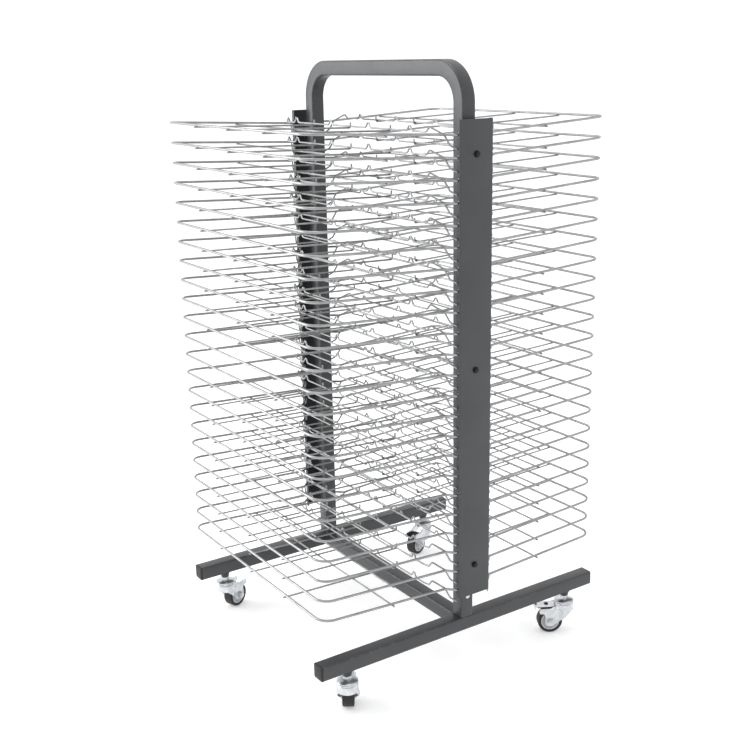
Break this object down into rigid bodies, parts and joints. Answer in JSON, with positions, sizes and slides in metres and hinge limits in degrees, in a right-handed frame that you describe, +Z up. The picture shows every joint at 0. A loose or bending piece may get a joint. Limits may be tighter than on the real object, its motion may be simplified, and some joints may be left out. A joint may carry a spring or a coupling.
{
  "type": "art drying rack",
  "caption": "Mobile drying rack: a tube portal on an H base with braked castors, folded channels, and two banks of tilted wire shelves that lift for loading sheets.",
  "frame": {"origin": "on the floor under the middle of the rack", "axes": "+Z up, X along the feet, Y from the near post to the far post"},
  "size_m": [0.647, 0.5556, 1.136],
  "materials": {
    "frame_paint": "satin powder coat, dark grey",
    "bright_wire": "bright plated round wire",
    "zinc": "bright zinc-plated pressed steel",
    "castor_tyre": "black tread on a light grey centre"
  },
  "bodies": {
    "rack_frame": {"portal_frame": "frame_paint", "base_frame": "frame_paint", "channel_near": "frame_paint", "channel_far": "frame_paint"},
    "shelf_left_01": {"shelf_left_01": "bright_wire"},
    "shelf_left_02": {"shelf_left_02": "bright_wire"},
    "shelf_left_03": {"shelf_left_03": "bright_wire"},
    "shelf_left_04": {"shelf_left_04": "bright_wire"},
    "shelf_left_05": {"shelf_left_05": "bright_wire"},
    "shelf_left_06": {"shelf_left_06": "bright_wire"},
    "shelf_left_07": {"shelf_left_07": "bright_wire"},
    "shelf_left_08": {"shelf_left_08": "bright_wire"},
    "shelf_left_09": {"shelf_left_09": "bright_wire"},
    "shelf_left_10": {"shelf_left_10": "bright_wire"},
    "shelf_left_11": {"shelf_left_11": "bright_wire"},
    "shelf_left_12": {"shelf_left_12": "bright_wire"},
    "shelf_left_13": {"shelf_left_13": "bright_wire"},
    "shelf_left_14": {"shelf_left_14": "bright_wire"},
    "shelf_left_15": {"shelf_left_15": "bright_wire"},
    "shelf_left_16": {"shelf_left_16": "bright_wire"},
    "shelf_left_17": {"shelf_left_17": "bright_wire"},
    "shelf_left_18": {"shelf_left_18": "bright_wire"},
    "shelf_left_19": {"shelf_left_19": "bright_wire"},
    "shelf_left_20": {"shelf_left_20": "bright_wire"},
    "shelf_left_21": {"shelf_left_21": "bright_wire"},
    "shelf_left_22": {"shelf_left_22": "bright_wire"},
    "shelf_left_23": {"shelf_left_23": "bright_wire"},
    "shelf_right_01": {"shelf_right_01": "bright_wire"},
    "shelf_right_02": {"shelf_right_02": "bright_wire"},
    "shelf_right_03": {"shelf_right_03": "bright_wire"},
    "shelf_right_04": {"shelf_right_04": "bright_wire"},
    "shelf_right_05": {"shelf_right_05": "bright_wire"},
    "shelf_right_06": {"shelf_right_06": "bright_wire"},
    "shelf_right_07": {"shelf_right_07": "bright_wire"},
    "shelf_right_08": {"shelf_right_08": "bright_wire"},
    "shelf_right_09": {"shelf_right_09": "bright_wire"},
    "shelf_right_10": {"shelf_right_10": "bright_wire"},
    "shelf_right_11": {"shelf_right_11": "bright_wire"},
    "shelf_right_12": {"shelf_right_12": "bright_wire"},
    "shelf_right_13": {"shelf_right_13": "bright_wire"},
    "shelf_right_14": {"shelf_right_14": "bright_wire"},
    "shelf_right_15": {"shelf_right_15": "bright_wire"},
    "shelf_right_16": {"shelf_right_16": "bright_wire"},
    "shelf_right_17": {"shelf_right_17": "bright_wire"},
    "shelf_right_18": {"shelf_right_18": "bright_wire"},
    "shelf_right_19": {"shelf_right_19": "bright_wire"},
    "shelf_right_20": {"shelf_right_20": "bright_wire"},
    "shelf_right_21": {"shelf_right_21": "bright_wire"},
    "shelf_right_22": {"shelf_right_22": "bright_wire"},
    "shelf_right_23": {"shelf_right_23": "bright_wire"},
    "castor_near_right": {"castor_fork_near_right": "zinc"},
    "wheel_near_right": {"castor_wheel_near_right": "castor_tyre"},
    "pedal_near_right": {"brake_pedal_near_right": "zinc"},
    "castor_near_left": {"castor_fork_near_left": "zinc"},
    "wheel_near_left": {"castor_wheel_near_left": "castor_tyre"},
    "pedal_near_left": {"brake_pedal_near_left": "zinc"},
    "castor_far_left": {"castor_fork_far_left": "zinc"},
    "wheel_far_left": {"castor_wheel_far_left": "castor_tyre"},
    "castor_far_right": {"castor_fork_far_right": "zinc"},
    "wheel_far_right": {"castor_wheel_far_right": "castor_tyre"}
  },
  "joints": [
    {"name": "lift_left_01", "type": "hinge", "parent": "rack_frame", "child": "shelf_left_01", "pos_m": [-0.03475, 0, 1.015], "axis": [0, 1, 0], "range_deg": [0, 50]},
    {"name": "lift_left_02", "type": "hinge", "parent": "rack_frame", "child": "shelf_left_02", "pos_m": [-0.03475, 0, 0.9775], "axis": [0, 1, 0], "range_deg": [0, 50]},
    {"name": "lift_left_03", "type": "hinge", "parent": "rack_frame", "child": "shelf_left_03", "pos_m": [-0.03475, 0, 0.94], "axis": [0, 1, 0], "range_deg": [0, 50]},
    {"name": "lift_left_04", "type": "hinge", "parent": "rack_frame", "child": "shelf_left_04", "pos_m": [-0.03475, 0, 0.9025], "axis": [0, 1, 0], "range_deg": [0, 50]},
    {"name": "lift_left_05", "type": "hinge", "parent": "rack_frame", "child": "shelf_left_05", "pos_m": [-0.03475, 0, 0.865], "axis": [0, 1, 0], "range_deg": [0, 50]},
    {"name": "lift_left_06", "type": "hinge", "parent": "rack_frame", "child": "shelf_left_06", "pos_m": [-0.03475, 0, 0.8275], "axis": [0, 1, 0], "range_deg": [0, 50]},
    {"name": "lift_left_07", "type": "hinge", "parent": "rack_frame", "child": "shelf_left_07", "pos_m": [-0.03475, 0, 0.79], "axis": [0, 1, 0], "range_deg": [0, 50]},
    {"name": "lift_left_08", "type": "hinge", "parent": "rack_frame", "child": "shelf_left_08", "pos_m": [-0.03475, 0, 0.7525], "axis": [0, 1, 0], "range_deg": [0, 50]},
    {"name": "lift_left_09", "type": "hinge", "parent": "rack_frame", "child": "shelf_left_09", "pos_m": [-0.03475, 0, 0.715], "axis": [0, 1, 0], "range_deg": [0, 50]},
    {"name": "lift_left_10", "type": "hinge", "parent": "rack_frame", "child": "shelf_left_10", "pos_m": [-0.03475, 0, 0.6775], "axis": [0, 1, 0], "range_deg": [0, 50]},
    {"name": "lift_left_11", "type": "hinge", "parent": "rack_frame", "child": "shelf_left_11", "pos_m": [-0.03475, 0, 0.64], "axis": [0, 1, 0], "range_deg": [0, 50]},
    {"name": "lift_left_12", "type": "hinge", "parent": "rack_frame", "child": "shelf_left_12", "pos_m": [-0.03475, 0, 0.6025], "axis": [0, 1, 0], "range_deg": [0, 50]},
    {"name": "lift_left_13", "type": "hinge", "parent": "rack_frame", "child": "shelf_left_13", "pos_m": [-0.03475, 0, 0.565], "axis": [0, 1, 0], "range_deg": [0, 50]},
    {"name": "lift_left_14", "type": "hinge", "parent": "rack_frame", "child": "shelf_left_14", "pos_m": [-0.03475, 0, 0.5275], "axis": [0, 1, 0], "range_deg": [0, 50]},
    {"name": "lift_left_15", "type": "hinge", "parent": "rack_frame", "child": "shelf_left_15", "pos_m": [-0.03475, 0, 0.49], "axis": [0, 1, 0], "range_deg": [0, 50]},
    {"name": "lift_left_16", "type": "hinge", "parent": "rack_frame", "child": "shelf_left_16", "pos_m": [-0.03475, 0, 0.4525], "axis": [0, 1, 0], "range_deg": [0, 50]},
    {"name": "lift_left_17", "type": "hinge", "parent": "rack_frame", "child": "shelf_left_17", "pos_m": [-0.03475, 0, 0.415], "axis": [0, 1, 0], "range_deg": [0, 50]},
    {"name": "lift_left_18", "type": "hinge", "parent": "rack_frame", "child": "shelf_left_18", "pos_m": [-0.03475, 0, 0.3775], "axis": [0, 1, 0], "range_deg": [0, 50]},
    {"name": "lift_left_19", "type": "hinge", "parent": "rack_frame", "child": "shelf_left_19", "pos_m": [-0.03475, 0, 0.34], "axis": [0, 1, 0], "range_deg": [0, 50]},
    {"name": "lift_left_20", "type": "hinge", "parent": "rack_frame", "child": "shelf_left_20", "pos_m": [-0.03475, 0, 0.3025], "axis": [0, 1, 0], "range_deg": [0, 50]},
    {"name": "lift_left_21", "type": "hinge", "parent": "rack_frame", "child": "shelf_left_21", "pos_m": [-0.03475, 0, 0.265], "axis": [0, 1, 0], "range_deg": [0, 50]},
    {"name": "lift_left_22", "type": "hinge", "parent": "rack_frame", "child": "shelf_left_22", "pos_m": [-0.03475, 0, 0.2275], "axis": [0, 1, 0], "range_deg": [0, 50]},
    {"name": "lift_left_23", "type": "hinge", "parent": "rack_frame", "child": "shelf_left_23", "pos_m": [-0.03475, 0, 0.19], "axis": [0, 1, 0], "range_deg": [0, 50]},
    {"name": "lift_right_01", "type": "hinge", "parent": "rack_frame", "child": "shelf_right_01", "pos_m": [0.03475, 0, 1.015], "axis": [0, -1, 0], "range_deg": [0, 50]},
    {"name": "lift_right_02", "type": "hinge", "parent": "rack_frame", "child": "shelf_right_02", "pos_m": [0.03475, 0, 0.9775], "axis": [0, -1, 0], "range_deg": [0, 50]},
    {"name": "lift_right_03", "type": "hinge", "parent": "rack_frame", "child": "shelf_right_03", "pos_m": [0.03475, 0, 0.94], "axis": [0, -1, 0], "range_deg": [0, 50]},
    {"name": "lift_right_04", "type": "hinge", "parent": "rack_frame", "child": "shelf_right_04", "pos_m": [0.03475, 0, 0.9025], "axis": [0, -1, 0], "range_deg": [0, 50]},
    {"name": "lift_right_05", "type": "hinge", "parent": "rack_frame", "child": "shelf_right_05", "pos_m": [0.03475, 0, 0.865], "axis": [0, -1, 0], "range_deg": [0, 50]},
    {"name": "lift_right_06", "type": "hinge", "parent": "rack_frame", "child": "shelf_right_06", "pos_m": [0.03475, 0, 0.8275], "axis": [0, -1, 0], "range_deg": [0, 50]},
    {"name": "lift_right_07", "type": "hinge", "parent": "rack_frame", "child": "shelf_right_07", "pos_m": [0.03475, 0, 0.79], "axis": [0, -1, 0], "range_deg": [0, 50]},
    {"name": "lift_right_08", "type": "hinge", "parent": "rack_frame", "child": "shelf_right_08", "pos_m": [0.03475, 0, 0.7525], "axis": [0, -1, 0], "range_deg": [0, 50]},
    {"name": "lift_right_09", "type": "hinge", "parent": "rack_frame", "child": "shelf_right_09", "pos_m": [0.03475, 0, 0.715], "axis": [0, -1, 0], "range_deg": [0, 50]},
    {"name": "lift_right_10", "type": "hinge", "parent": "rack_frame", "child": "shelf_right_10", "pos_m": [0.03475, 0, 0.6775], "axis": [0, -1, 0], "range_deg": [0, 50]},
    {"name": "lift_right_11", "type": "hinge", "parent": "rack_frame", "child": "shelf_right_11", "pos_m": [0.03475, 0, 0.64], "axis": [0, -1, 0], "range_deg": [0, 50]},
    {"name": "lift_right_12", "type": "hinge", "parent": "rack_frame", "child": "shelf_right_12", "pos_m": [0.03475, 0, 0.6025], "axis": [0, -1, 0], "range_deg": [0, 50]},
    {"name": "lift_right_13", "type": "hinge", "parent": "rack_frame", "child": "shelf_right_13", "pos_m": [0.03475, 0, 0.565], "axis": [0, -1, 0], "range_deg": [0, 50]},
    {"name": "lift_right_14", "type": "hinge", "parent": "rack_frame", "child": "shelf_right_14", "pos_m": [0.03475, 0, 0.5275], "axis": [0, -1, 0], "range_deg": [0, 50]},
    {"name": "lift_right_15", "type": "hinge", "parent": "rack_frame", "child": "shelf_right_15", "pos_m": [0.03475, 0, 0.49], "axis": [0, -1, 0], "range_deg": [0, 50]},
    {"name": "lift_right_16", "type": "hinge", "parent": "rack_frame", "child": "shelf_right_16", "pos_m": [0.03475, 0, 0.4525], "axis": [0, -1, 0], "range_deg": [0, 50]},
    {"name": "lift_right_17", "type": "hinge", "parent": "rack_frame", "child": "shelf_right_17", "pos_m": [0.03475, 0, 0.415], "axis": [0, -1, 0], "range_deg": [0, 50]},
    {"name": "lift_right_18", "type": "hinge", "parent": "rack_frame", "child": "shelf_right_18", "pos_m": [0.03475, 0, 0.3775], "axis": [0, -1, 0], "range_deg": [0, 50]},
    {"name": "lift_right_19", "type": "hinge", "parent": "rack_frame", "child": "shelf_right_19", "pos_m": [0.03475, 0, 0.34], "axis": [0, -1, 0], "range_deg": [0, 50]},
    {"name": "lift_right_20", "type": "hinge", "parent": "rack_frame", "child": "shelf_right_20", "pos_m": [0.03475, 0, 0.3025], "axis": [0, -1, 0], "range_deg": [0, 50]},
    {"name": "lift_right_21", "type": "hinge", "parent": "rack_frame", "child": "shelf_right_21", "pos_m": [0.03475, 0, 0.265], "axis": [0, -1, 0], "range_deg": [0, 50]},
    {"name": "lift_right_22", "type": "hinge", "parent": "rack_frame", "child": "shelf_right_22", "pos_m": [0.03475, 0, 0.2275], "axis": [0, -1, 0], "range_deg": [0, 50]},
    {"name": "lift_right_23", "type": "hinge", "parent": "rack_frame", "child": "shelf_right_23", "pos_m": [0.03475, 0, 0.19], "axis": [0, -1, 0], "range_deg": [0, 50]},
    {"name": "swivel_near_right", "type": "hinge", "parent": "rack_frame", "child": "castor_near_right", "pos_m": [0.2625, -0.2433, 0.068], "axis": [0, 0, 1], "continuous": true},
    {"name": "roll_near_right", "type": "hinge", "parent": "castor_near_right", "child": "wheel_near_right", "pos_m": [0.23739, -0.2288, 0.025], "axis": [0.5, 0.866, 0], "continuous": true},
    {"name": "brake_near_right", "type": "hinge", "parent": "castor_near_right", "child": "pedal_near_right", "pos_m": [0.24475, -0.23305, 0.0567], "axis": [-0.5, -0.866, 0], "range_deg": [0, 10]},
    {"name": "swivel_near_left", "type": "hinge", "parent": "rack_frame", "child": "castor_near_left", "pos_m": [-0.2625, -0.2433, 0.068], "axis": [0, 0, 1], "continuous": true},
    {"name": "roll_near_left", "type": "hinge", "parent": "castor_near_left", "child": "wheel_near_left", "pos_m": [-0.24628, -0.21926, 0.025], "axis": [0.829, -0.5592, 0], "continuous": true},
    {"name": "brake_near_left", "type": "hinge", "parent": "castor_near_left", "child": "pedal_near_left", "pos_m": [-0.25104, -0.22631, 0.0567], "axis": [-0.829, 0.5592, 0], "range_deg": [0, 10]},
    {"name": "swivel_far_left", "type": "hinge", "parent": "rack_frame", "child": "castor_far_left", "pos_m": [-0.2625, 0.2433, 0.068], "axis": [0, 0, 1], "continuous": true},
    {"name": "roll_far_left", "type": "hinge", "parent": "castor_far_left", "child": "wheel_far_left", "pos_m": [-0.2358, 0.25463, 0.025], "axis": [0.3907, -0.9205, 0], "continuous": true},
    {"name": "swivel_far_right", "type": "hinge", "parent": "rack_frame", "child": "castor_far_right", "pos_m": [0.2625, 0.2433, 0.068], "axis": [0, 0, 1], "continuous": true},
    {"name": "roll_far_right", "type": "hinge", "parent": "castor_far_right", "child": "wheel_far_right", "pos_m": [0.23525, 0.23338, 0.025], "axis": [-0.342, 0.9397, 0], "continuous": true}
  ],
  "couplings": [
    {"joint": "lift_left_02", "follows": "lift_left_01", "ratio": 1},
    {"joint": "lift_left_03", "follows": "lift_left_01", "ratio": 1},
    {"joint": "lift_left_04", "follows": "lift_left_01", "ratio": 1},
    {"joint": "lift_left_05", "follows": "lift_left_01", "ratio": 1},
    {"joint": "lift_left_06", "follows": "lift_left_01", "ratio": 1},
    {"joint": "lift_left_07", "follows": "lift_left_01", "ratio": 1},
    {"joint": "lift_left_08", "follows": "lift_left_01", "ratio": 1},
    {"joint": "lift_left_09", "follows": "lift_left_01", "ratio": 1},
    {"joint": "lift_left_10", "follows": "lift_left_01", "ratio": 1},
    {"joint": "lift_left_11", "follows": "lift_left_01", "ratio": 1},
    {"joint": "lift_left_12", "follows": "lift_left_01", "ratio": 1},
    {"joint": "lift_left_13", "follows": "lift_left_01", "ratio": 1},
    {"joint": "lift_left_14", "follows": "lift_left_01", "ratio": 1},
    {"joint": "lift_left_15", "follows": "lift_left_01", "ratio": 1},
    {"joint": "lift_left_16", "follows": "lift_left_01", "ratio": 1},
    {"joint": "lift_left_17", "follows": "lift_left_01", "ratio": 1},
    {"joint": "lift_left_18", "follows": "lift_left_01", "ratio": 1},
    {"joint": "lift_left_19", "follows": "lift_left_01", "ratio": 1},
    {"joint": "lift_left_20", "follows": "lift_left_01", "ratio": 1},
    {"joint": "lift_left_21", "follows": "lift_left_01", "ratio": 1},
    {"joint": "lift_left_22", "follows": "lift_left_01", "ratio": 1},
    {"joint": "lift_left_23", "follows": "lift_left_01", "ratio": 1},
    {"joint": "lift_right_02", "follows": "lift_right_01", "ratio": 1},
    {"joint": "lift_right_03", "follows": "lift_right_01", "ratio": 1},
    {"joint": "lift_right_04", "follows": "lift_right_01", "ratio": 1},
    {"joint": "lift_right_05", "follows": "lift_right_01", "ratio": 1},
    {"joint": "lift_right_06", "follows": "lift_right_01", "ratio": 1},
    {"joint": "lift_right_07", "follows": "lift_right_01", "ratio": 1},
    {"joint": "lift_right_08", "follows": "lift_right_01", "ratio": 1},
    {"joint": "lift_right_09", "follows": "lift_right_01", "ratio": 1},
    {"joint": "lift_right_10", "follows": "lift_right_01", "ratio": 1},
    {"joint": "lift_right_11", "follows": "lift_right_01", "ratio": 1},
    {"joint": "lift_right_12", "follows": "lift_right_01", "ratio": 1},
    {"joint": "lift_right_13", "follows": "lift_right_01", "ratio": 1},
    {"joint": "lift_right_14", "follows": "lift_right_01", "ratio": 1},
    {"joint": "lift_right_15", "follows": "lift_right_01", "ratio": 1},
    {"joint": "lift_right_16", "follows": "lift_right_01", "ratio": 1},
    {"joint": "lift_right_17", "follows": "lift_right_01", "ratio": 1},
    {"joint": "lift_right_18", "follows": "lift_right_01", "ratio": 1},
    {"joint": "lift_right_19", "follows": "lift_right_01", "ratio": 1},
    {"joint": "lift_right_20", "follows": "lift_right_01", "ratio": 1},
    {"joint": "lift_right_21", "follows": "lift_right_01", "ratio": 1},
    {"joint": "lift_right_22", "follows": "lift_right_01", "ratio": 1},
    {"joint": "lift_right_23", "follows": "lift_right_01", "ratio": 1}
  ]
}
